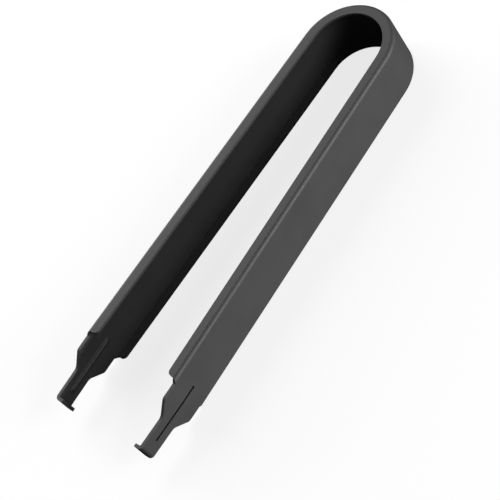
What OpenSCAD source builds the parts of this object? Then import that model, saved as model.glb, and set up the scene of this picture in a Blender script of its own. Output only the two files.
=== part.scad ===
// Keyboard switch puller, folded and pressed from one strip of sheet steel.
// The strip is bent into a bow with two long arms. Both long edges are folded inward to a
// shallow channel, and each arm ends in a flat blade with a pressed rib and a small hook.
// The puller lies on the outer face of one flange, z = 0, and the origin is at the centre of its
// outline. The bow is at the +Y end, the arms run along -Y, and X goes across the gap.

/* [Channel] */
// Width of the channel, from the outer face of one flange to the other
channel_w = 10; // [7:0.5:16]
// Thickness of the sheet
sheet_t = 0.6; // [0.4:0.05:1]
// Depth of the flanges, from the outer face of the web to their free edge
flange_d = 2.1; // [2:0.1:3.5]
// Inside radius of the fold between the web and each flange
fold_in_r = 0.1; // [0.1:0.05:0.4]

/* [Bow and arms] */
// Outside radius of the bow
bow_r = 9.25; // [6:0.25:14]
// Outward lean of each arm, in degrees
splay = 1.4; // [0:0.1:4]
// Length of each arm, from the end of the bow to the end of its flanges
arm_l = 64.5; // [30:0.5:110]

/* [Flange ends] */
// Radius of the free corner of each flange
corner_r = 0.9; // [0.3:0.1:0.9]
// Radius of the inner corner between the flange end and the web
relief_r = 0.25; // [0.1:0.05:0.4]
// Length that the outer face of the fold runs on past the flange end
relief_lip = 0.05; // [0.05:0.05:0.5]

/* [Blades] */
// Step in from each fold to the edge of the blade
edge_step = 0.05; // [0.05:0.05:0.5]
// Inward set of each blade at the flange ends, in degrees
blade_set = 2.3; // [0.5:0.1:5]
// Length of the gentle bend that sets the blade in
set_l = 1.6; // [0.8:0.1:2]
// Length of the wide part of the blade, from the flange end to the taper
shoulder_l = 3.7; // [3.5:0.1:10]
// Length of the taper
taper_l = 2.5; // [1.5:0.1:6]
// Length of the narrow tip, from the taper to the underside of the hook
tip_l = 6.2; // [4.5:0.1:15]
// Width of the narrow tip
tip_w = 3.8; // [2.5:0.1:5]
// Radius of the outer corners at the top of the taper
shoulder_r = 0.9; // [0.2:0.1:1.2]
// Radius of the inner corners at the foot of the taper
foot_r = 1.4; // [0.2:0.1:2]

/* [Hooks] */
// Reach of each hook, from the outer face of the blade
hook_reach = 1.65; // [1.5:0.05:3]
// Inside radius of the bend at the hook
hook_in_r = 0.2; // [0.1:0.05:0.4]

/* [Pressed rib] */
// Distance from the start of the rib down to the flange end
rib_above = 1.1; // [0.5:0.1:6]
// Distance from the end of the rib down to the underside of the hook
rib_below = 2.7; // [1.5:0.1:4]
// Width of the groove on the outer face
groove_w = 0.4; // [0.2:0.05:0.6]
// Depth of the groove at its ends
groove_depth = 0.3; // [0.1:0.05:0.35]
// Diameter of the round start of the groove
groove_start_d = 0.6; // [0.4:0.05:0.8]
// Width of the ridge on the inner face
ridge_w = 0.75; // [0.5:0.05:1]
// Height of the ridge at its ends
ridge_h = 0.25; // [0.15:0.05:0.4]

/* [Hidden] */
$fn = 96;
// Outside radius of the folds, and width of the flat web between them
fold_r = sheet_t + fold_in_r;
web_w = channel_w - 2 * fold_r;
// Width of the blade at its top, just inside the folds
blade_w = web_w - 2 * edge_step;
// Depth of the inner corner of each flange end, just clear of the inner face of the web
relief_d = sheet_t + fold_in_r / 2;
// Length that the web runs on past the flange end, just far enough for the 45 degree slant that
// cuts off its folds to reach the edges of the blade
relief_l = relief_lip + fold_r + 2 * edge_step;
// Radius of the free corner, no larger than the flange end has room for
free_corner_r = min(corner_r, flange_d - relief_d - relief_r);
// Angle that each half of the bow runs past the middle, where it is cut off flat
bow_overlap = 5;
// Outside radius of the bend that sets the blade in
set_r = set_l * 180 / PI / blade_set;
// Outside radius of the hook bend
hook_r = sheet_t + hook_in_r;
// Lengths of the blade, from the set bend to the taper and to the underside of the hook
blade_top_l = shoulder_l - relief_l - set_l;
blade_l = blade_top_l + taper_l + tip_l;
// Slope of the taper from the long direction of the blade
taper_angle = atan((blade_w - tip_w) / 2 / taper_l);
// Radius of the round bar whose side stands out of the inner face as the ridge
ridge_r = (pow(ridge_w / 2, 2) + pow(ridge_h, 2)) / (2 * ridge_h);
// Flat steps that make up the bend that sets the blade in, and the bend of the hook
set_steps = 6;
hook_steps = 12;
// Distance from the axis of the bow to the line across the two tips
tips_l = (arm_l + shoulder_l + taper_l + tip_l) * cos(splay) - bow_r * sin(splay);
// Overlap of cutting shapes past the faces that they cut
over = 1;

// The arm modules share one local frame: the outer face of the strip is at x = 0 with the sheet
// on its -X side, the strip runs along -Y, and z = 0 is the middle of its width.

// Block behind x = 0 with its two front corners rounded, drawn in the section of the strip
module rounded_block(depth, w, r) {
    translate([-depth, -w / 2]) square([depth - r, w]);
    translate([-depth, r - w / 2]) square([depth, w - 2 * r]);
    for (side = [-1, 1]) {
        translate([-r, side * (w / 2 - r)]) circle(r = r);
    }
}

// Section of the channel: web with a flange folded inward along each edge
module channel_section() {
    difference() {
        rounded_block(flange_d, channel_w, fold_r);
        translate([-sheet_t, 0]) rounded_block(flange_d + over, channel_w - 2 * sheet_t, fold_in_r);
    }
}

// Sliver between a sharp corner at the origin and the arc that rounds it; one side of the
// corner goes up along +Y, and the other goes down, turned towards -X by the given angle
module corner_sliver(r, turn) {
    tangent_l = r * tan(turn / 2);
    difference() {
        polygon([[0, tangent_l], [0, 0], [-tangent_l * sin(turn), -tangent_l * cos(turn)]]);
        translate([-r, tangent_l]) circle(r = r);
    }
}

// Point on the bend that sets the blade in, and on the blade below it: a is the angle turned,
// s the distance down the blade, and d the depth behind the outer face
function on_set_bend(a, d) = [(set_r - d) * cos(a) - set_r, -arm_l - relief_l - (set_r - d) * sin(a)];
function on_blade(s, d) = on_set_bend(blade_set, d) - s * [sin(blade_set), cos(blade_set)];

// Point on the bend of the hook, at radius r from its centre, after a turn of the angle a
function on_hook_bend(a, r) = on_blade(blade_l - hook_r + r * sin(a), hook_r - r * cos(a));

// Moves its children to the blade: outer face at x = 0, running along -Y from the set bend
module at_blade() {
    translate(on_blade(0, 0)) rotate(-blade_set) children();
}

// The rib runs straight from a point on the outer face of the arm to one on that of the blade
rib_start = [0, rib_above - arm_l];
rib_line = on_blade(blade_l - rib_below, 0) - rib_start;
rib_l = norm(rib_line);

// Moves its children to the start of the rib, which runs along -Y from there
module at_rib() {
    translate(rib_start) rotate(atan2(rib_line[0], -rib_line[1])) children();
}

// Side view of what is cut away at the end of a flange: all that is below the flange end and
// behind the web, with a round inner corner, and the round free corner
module flange_end_cut() {
    low_y = -arm_l - relief_l - over;
    straight_d = relief_d + relief_r;
    translate([-flange_d - over, low_y]) square([flange_d + over - straight_d, relief_l + over]);
    translate([-straight_d - over, low_y]) square([relief_r + over, relief_l + over - relief_r]);
    translate([-straight_d, -arm_l - relief_r]) circle(r = relief_r);
    translate([-flange_d, -arm_l]) rotate(-90) corner_sliver(free_corner_r, 90);
}

// Front view of what is cut away beside the blade: the folds are cut off at 45 degrees
module fold_end_cut() {
    top_z = channel_w / 2 + over;
    top_y = -arm_l - relief_lip + over;
    low_y = -arm_l - relief_l - over;
    low_z = top_z - top_y + low_y;
    polygon([
        [-top_z, top_y],
        [-low_z, low_y],
        [low_z, low_y],
        [top_z, top_y],
        [top_z, low_y - over],
        [-top_z, low_y - over]
    ]);
}

// Flanged length of an arm; the blade carries the web on
module arm_channel() {
    difference() {
        rotate([90, 0, 0]) linear_extrude(height = arm_l + relief_l) channel_section();
        linear_extrude(height = channel_w + 2 * over, center = true) flange_end_cut();
        translate([over, 0, 0]) rotate([0, -90, 0])
            linear_extrude(height = flange_d + 2 * over) fold_end_cut();
    }
}

// Front view of the blade: wide top, taper and narrow tip
module blade_front_view() {
    taper_end = -blade_top_l - taper_l;
    difference() {
        union() {
            polygon([
                [-blade_w / 2, 0],
                [-blade_w / 2, -blade_top_l],
                [-tip_w / 2, taper_end],
                [-tip_w / 2, -blade_l - over],
                [tip_w / 2, -blade_l - over],
                [tip_w / 2, taper_end],
                [blade_w / 2, -blade_top_l],
                [blade_w / 2, 0]
            ]);
            for (side = [0, 1]) mirror([side, 0]) translate([tip_w / 2, taper_end])
                rotate(180) corner_sliver(foot_r, taper_angle);
        }
        for (side = [0, 1]) mirror([side, 0]) translate([blade_w / 2, -blade_top_l])
            corner_sliver(shoulder_r, taper_angle);
    }
}

// Side view of the blade, from inside the end of the arm to the tip of the hook
module blade_side_view() {
    start_y = over - arm_l;
    set_turns = [for (k = [0:set_steps]) blade_set * k / set_steps];
    hook_turns = [for (k = [0:hook_steps]) 90 * k / hook_steps];
    polygon(concat(
        [[0, start_y]],
        [for (a = set_turns) on_set_bend(a, 0)],
        [for (a = hook_turns) on_hook_bend(a, hook_r)],
        [on_blade(blade_l, hook_reach), on_blade(blade_l - sheet_t, hook_reach)],
        [for (a = hook_turns) on_hook_bend(90 - a, hook_in_r)],
        [for (a = set_turns) on_set_bend(blade_set - a, sheet_t)],
        [[-sheet_t, start_y]]
    ));
}

// Blade with its hook: the side view across the width of the web, cut to the front view
module blade() {
    difference() {
        linear_extrude(height = blade_w, center = true) blade_side_view();
        at_blade() translate([over, 0, 0]) rotate([0, -90, 0])
            linear_extrude(height = hook_reach + 2 * over)
                difference() {
                    translate([-blade_w / 2 - over, -blade_l - over / 2])
                        square([blade_w + 2 * over, blade_l - blade_top_l + shoulder_r + over / 2]);
                    blade_front_view();
                }
    }
}

// Front view of the groove: a narrow slot with round ends, the upper one wider
module groove_front_view() {
    translate([-groove_w / 2, groove_w / 2 - rib_l]) square([groove_w, rib_l - groove_w]);
    translate([0, groove_w / 2 - rib_l]) circle(d = groove_w);
    translate([0, -groove_start_d / 2]) circle(d = groove_start_d);
}

// Groove that the rib presses into the outer face
module groove() {
    at_rib() translate([over, 0, 0]) rotate([0, -90, 0])
        linear_extrude(height = over + groove_depth) groove_front_view();
}

// Ridge that the rib raises on the inner face, the inner part of a round bar with round ends
module ridge() {
    at_rib() intersection() {
        translate([ridge_r - sheet_t - ridge_h, -ridge_w / 2, 0]) {
            rotate([90, 0, 0]) cylinder(r = ridge_r, h = rib_l - ridge_w);
            sphere(r = ridge_r);
            translate([0, ridge_w - rib_l, 0]) sphere(r = ridge_r);
        }
        translate([-sheet_t - ridge_h - over, -rib_l - over, -over])
            cube([over + ridge_h + sheet_t / 2, rib_l + 2 * over, 2 * over]);
    }
}

// One arm with its blade, hook and rib
module arm() {
    difference() {
        union() {
            arm_channel();
            blade();
            ridge();
        }
        groove();
    }
}

// Half of the puller, on the +X side: half of the bow and one arm, about the axis of the bow
module half_puller() {
    difference() {
        rotate(splay) {
            rotate_extrude(angle = 90 + bow_overlap - splay) translate([bow_r, 0]) channel_section();
            translate([bow_r, 0, 0]) arm();
        }
        translate([-bow_r, 0, -channel_w]) cube([bow_r, 2 * bow_r, 2 * channel_w]);
    }
}

// The whole puller, in one piece
module puller() {
    color("#4a4a4a") translate([0, (tips_l - bow_r) / 2, channel_w / 2]) {
        half_puller();
        mirror([1, 0, 0]) half_puller();
    }
}

puller();
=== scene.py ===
import math

import bpy
from mathutils import Matrix, Vector

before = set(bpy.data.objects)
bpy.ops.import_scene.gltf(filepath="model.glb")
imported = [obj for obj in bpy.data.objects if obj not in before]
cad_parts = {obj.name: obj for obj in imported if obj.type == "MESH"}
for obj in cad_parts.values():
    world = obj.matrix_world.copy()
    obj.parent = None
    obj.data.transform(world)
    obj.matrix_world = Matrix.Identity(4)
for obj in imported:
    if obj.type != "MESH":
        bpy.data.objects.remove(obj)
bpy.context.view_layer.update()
scene = bpy.context.scene

# The puller. One strip of spring steel, blanked, folded along both edges to a channel, bent to a
# bow and pressed with a rib and a hook at each end. It is dipped in dark enamel after it is
# formed, so one even satin coat runs over faces, folds and cut edges alike.
MM = 0.001


def srgb(code):
    """Turns an sRGB hex colour into the linear colour that a shader takes."""
    parts = [int(code[i : i + 2], 16) / 255 for i in (1, 3, 5)]
    lin = [c / 12.92 if c <= 0.04045 else ((c + 0.055) / 1.055) ** 2.4 for c in parts]
    return (*lin, 1.0)


def add(tree, kind, settings=None, feeds=(), **links):
    """Adds a node, sets its properties and input values, and links its inputs.

    feeds go to the inputs in their order, each a socket to link or a plain number.
    """
    node = tree.nodes.new(kind)
    for slot, feed in zip(node.inputs, feeds):
        if isinstance(feed, float):
            slot.default_value = feed
        else:
            tree.links.new(feed, slot)
    for name, value in (settings or {}).items():
        if name in node.inputs:
            node.inputs[name].default_value = value
        else:
            setattr(node, name, value)
    for name, source in links.items():
        tree.links.new(source, node.inputs[name.replace("_", " ")])
    return node


# Baked dark enamel on steel: satin, nearly black-grey, with a dielectric gloss on top. Its tone
# and gloss drift a little from place to place, and up close it has the fine grain of a dipped
# coat.
DRIFT_WIDTH = 9 * MM
DRIFT_LOW, DRIFT_HIGH = 0.3, 0.7
GRAIN_WIDTH = 0.25 * MM
GRAIN_DEPTH = 0.01 * MM
enamel = bpy.data.materials.new("baked_dark_enamel_on_steel")
enamel.use_nodes = True
tree = enamel.node_tree
tree.nodes.clear()
place = add(tree, "ShaderNodeTexCoord").outputs["Object"]
drift = add(
    tree,
    "ShaderNodeTexNoise",
    {"Scale": 1 / DRIFT_WIDTH, "Detail": 3.0, "Roughness": 0.55},
    Vector=place,
).outputs["Fac"]
grain = add(
    tree,
    "ShaderNodeTexNoise",
    {"Scale": 1 / GRAIN_WIDTH, "Detail": 2.0, "Roughness": 0.6},
    Vector=place,
).outputs["Fac"]
coat = add(tree, "ShaderNodeValToRGB", Fac=drift)
darker, lighter = coat.color_ramp.elements
darker.position, darker.color = DRIFT_LOW, srgb("#464646")
lighter.position, lighter.color = DRIFT_HIGH, srgb("#4a4a4a")
gloss = add(
    tree,
    "ShaderNodeMapRange",
    {"From Min": DRIFT_LOW, "From Max": DRIFT_HIGH, "To Min": 0.52, "To Max": 0.58},
    Value=drift,
).outputs["Result"]

# Painted shade: the coat's colour is darkened towards #181818 in grooves and inner corners,
# wherever a point is closed in within half a millimetre.
SHADE_REACH = 0.5 * MM
openness = add(
    tree, "ShaderNodeAmbientOcclusion", {"samples": 8, "Distance": SHADE_REACH}
).outputs["AO"]
painted_shade = add(
    tree,
    "ShaderNodeMapRange",
    {"From Min": 0.45, "From Max": 0.9, "To Min": 1.0, "To Max": 0.0},
    Value=openness,
).outputs["Result"]
# Mixes the painted shade of grooves and inner corners into the coat's own tone.
tone = add(
    tree,
    "ShaderNodeMixRGB",
    {"Color2": srgb("#181818")},
    Fac=painted_shade,
    Color1=coat.outputs["Color"],
).outputs["Color"]

# Each pressed rib draws the sheet in with it over a soft shoulder, which stands out on the inner
# face only, where the normal points to the other arm. The rib lies at half the height of the
# channel, from 30 to 40 mm towards the tips.
RIB_START = -29.8 * MM
RIB_END = -40.0 * MM
RIB_HEIGHT = 5.0 * MM
SHOULDER_FROM = 0.3 * MM
SHOULDER_TO = 0.68 * MM
SHOULDER_DEPTH = 0.2 * MM
spot = add(tree, "ShaderNodeSeparateXYZ", Vector=place).outputs
plain_normal = add(tree, "ShaderNodeNewGeometry").outputs["True Normal"]
facing = add(tree, "ShaderNodeSeparateXYZ", Vector=plain_normal).outputs
outward = add(tree, "ShaderNodeMath", {"operation": "MULTIPLY"}, (spot["X"], facing["X"]))
inner = add(tree, "ShaderNodeMath", {"operation": "LESS_THAN"}, (outward.outputs[0], 0.0))
on_rib = add(tree, "ShaderNodeClamp", {"Min": RIB_END, "Max": RIB_START}, Value=spot["Y"])
past = add(tree, "ShaderNodeMath", {"operation": "SUBTRACT"}, (spot["Y"], on_rib.outputs[0]))
aside = add(tree, "ShaderNodeMath", {"operation": "SUBTRACT"}, (spot["Z"], RIB_HEIGHT))
off = add(tree, "ShaderNodeCombineXYZ", Y=past.outputs[0], Z=aside.outputs[0]).outputs[0]
off_rib = add(tree, "ShaderNodeVectorMath", {"operation": "LENGTH"}, Vector=off)
swell = add(
    tree,
    "ShaderNodeMapRange",
    {
        "interpolation_type": "SMOOTHSTEP",
        "From Min": SHOULDER_FROM,
        "From Max": SHOULDER_TO,
        "To Min": 1.0,
        "To Max": 0.0,
    },
    Value=off_rib.outputs["Value"],
).outputs["Result"]
drawn = add(tree, "ShaderNodeMath", {"operation": "MULTIPLY"}, (swell, inner.outputs[0]))
shoulder = add(
    tree,
    "ShaderNodeBump",
    {"Strength": 1.0, "Distance": SHOULDER_DEPTH},
    Height=drawn.outputs[0],
).outputs["Normal"]
surface = add(
    tree,
    "ShaderNodeBump",
    {"Strength": 0.12, "Distance": GRAIN_DEPTH},
    Height=grain,
    Normal=shoulder,
).outputs["Normal"]
skin = add(
    tree,
    "ShaderNodeBsdfPrincipled",
    {"IOR": 1.5, "Metallic": 0.0},
    Base_Color=tone,
    Roughness=gloss,
    Normal=surface,
)
add(tree, "ShaderNodeOutputMaterial", Surface=skin.outputs["BSDF"])

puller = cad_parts["puller"]
puller.data.materials.clear()
puller.data.materials.append(enamel)

# The table. A plain white studio sweep that the puller lies on. It looks white to the camera and
# keeps the soft shadow; towards the puller it is a dark grey, so the inner faces stay dark.
TABLE_SIDE = 3.0
bpy.ops.mesh.primitive_plane_add(size=TABLE_SIDE, location=(0, 0, 0))
table = bpy.context.object
table.name = "studio_table"

# Matt white paper. Near the puller the lamps bring it up to white, and from 220 mm out, where
# they fall off, it is white by itself.
NEAR, FAR = 70 * MM, 220 * MM
paper = bpy.data.materials.new("matt_white_studio_paper")
paper.use_nodes = True
tree = paper.node_tree
tree.nodes.clear()
seen = add(tree, "ShaderNodeLightPath").outputs["Is Camera Ray"]
place = add(tree, "ShaderNodeTexCoord").outputs["Object"]
distance = add(tree, "ShaderNodeVectorMath", {"operation": "LENGTH"}, Vector=place)
white = add(
    tree,
    "ShaderNodeMapRange",
    {"From Min": NEAR, "From Max": FAR, "To Min": 0.79, "To Max": 1.0},
    Value=distance.outputs["Value"],
).outputs["Result"]
lift = add(tree, "ShaderNodeEmission", {"Color": srgb("#ffffff")}, Strength=white)
matt = add(tree, "ShaderNodeBsdfDiffuse", {"Color": srgb("#a3a3a3")})
sheet = add(
    tree, "ShaderNodeAddShader", feeds=(matt.outputs["BSDF"], lift.outputs["Emission"])
)
dim = add(tree, "ShaderNodeBsdfDiffuse", {"Color": srgb("#303030")})
both = add(
    tree,
    "ShaderNodeMixShader",
    feeds=(seen, dim.outputs["BSDF"], sheet.outputs["Shader"]),
)
add(tree, "ShaderNodeOutputMaterial", Surface=both.outputs["Shader"])
table.data.materials.append(paper)

# The light. Four soft boxes: one low on the right and one above it, so the outer face of the
# right arm is lit and shades the inner face of the left one, a large one behind for the flanges,
# and a weak one on the left for the far side.
LAMP_DISTANCE = 0.6


def soft_box(name, azimuth, elevation, width, height, power):
    """Adds an area lamp turned to the puller; angles in degrees, azimuth from X towards Y."""
    lamp = bpy.data.lights.new(name, "AREA")
    lamp.shape = "RECTANGLE"
    lamp.size = width
    lamp.size_y = height
    lamp.energy = power
    box = bpy.data.objects.new(name, lamp)
    scene.collection.objects.link(box)
    box.visible_camera = False
    az, el = math.radians(azimuth), math.radians(elevation)
    way = Vector((math.cos(az) * math.cos(el), math.sin(az) * math.cos(el), math.sin(el)))
    box.location = way * LAMP_DISTANCE
    box.rotation_euler = way.to_track_quat("Z", "Y").to_euler()


soft_box("soft_box_right_low", 25, 3, width=0.5, height=0.05, power=3.0)
soft_box("soft_box_right", 22, 28, width=0.3, height=0.2, power=1.2)
soft_box("soft_box_back", 165, 38, width=0.5, height=0.5, power=1.85)
soft_box("soft_box_left", 185, 12, width=0.4, height=0.2, power=1.5)

# The room. Dim walls that fill the shade a little; the camera sees them as plain white.
room = bpy.data.worlds.new("white_room")
scene.world = room
room.use_nodes = True
tree = room.node_tree
tree.nodes.clear()
seen = add(tree, "ShaderNodeLightPath").outputs["Is Camera Ray"]
fill = add(tree, "ShaderNodeBackground", {"Color": srgb("#ffffff"), "Strength": 0.06})
backdrop = add(tree, "ShaderNodeBackground", {"Color": srgb("#ffffff"), "Strength": 1.0})
both = add(
    tree,
    "ShaderNodeMixShader",
    feeds=(seen, fill.outputs["Background"], backdrop.outputs["Background"]),
)
add(tree, "ShaderNodeOutputWorld", Surface=both.outputs["Shader"])

# The camera. A long lens that looks down on the puller and is rolled, so that the arms run from
# the lower left to the upper right. Its focal length is given in pixels of the frame.
FRAME_WIDTH = 500
FOCAL_LENGTH = 1624.67
CAMERA_PLACE = Vector((172.958, -60.996, 211.329)) * MM
lens = bpy.data.cameras.new("camera")
lens.sensor_width = 36.0
lens.lens = lens.sensor_width * FOCAL_LENGTH / FRAME_WIDTH
lens.clip_start = 0.01
camera = bpy.data.objects.new("camera", lens)
scene.collection.objects.link(camera)
right = Vector((0.712016, 0.554453, -0.430831))
up = Vector((-0.331087, 0.806191, 0.490344))
turn = Matrix((right, up, right.cross(up))).transposed().to_4x4()
camera.matrix_world = Matrix.Translation(CAMERA_PLACE) @ turn
scene.camera = camera

scene.view_settings.view_transform = "Standard"
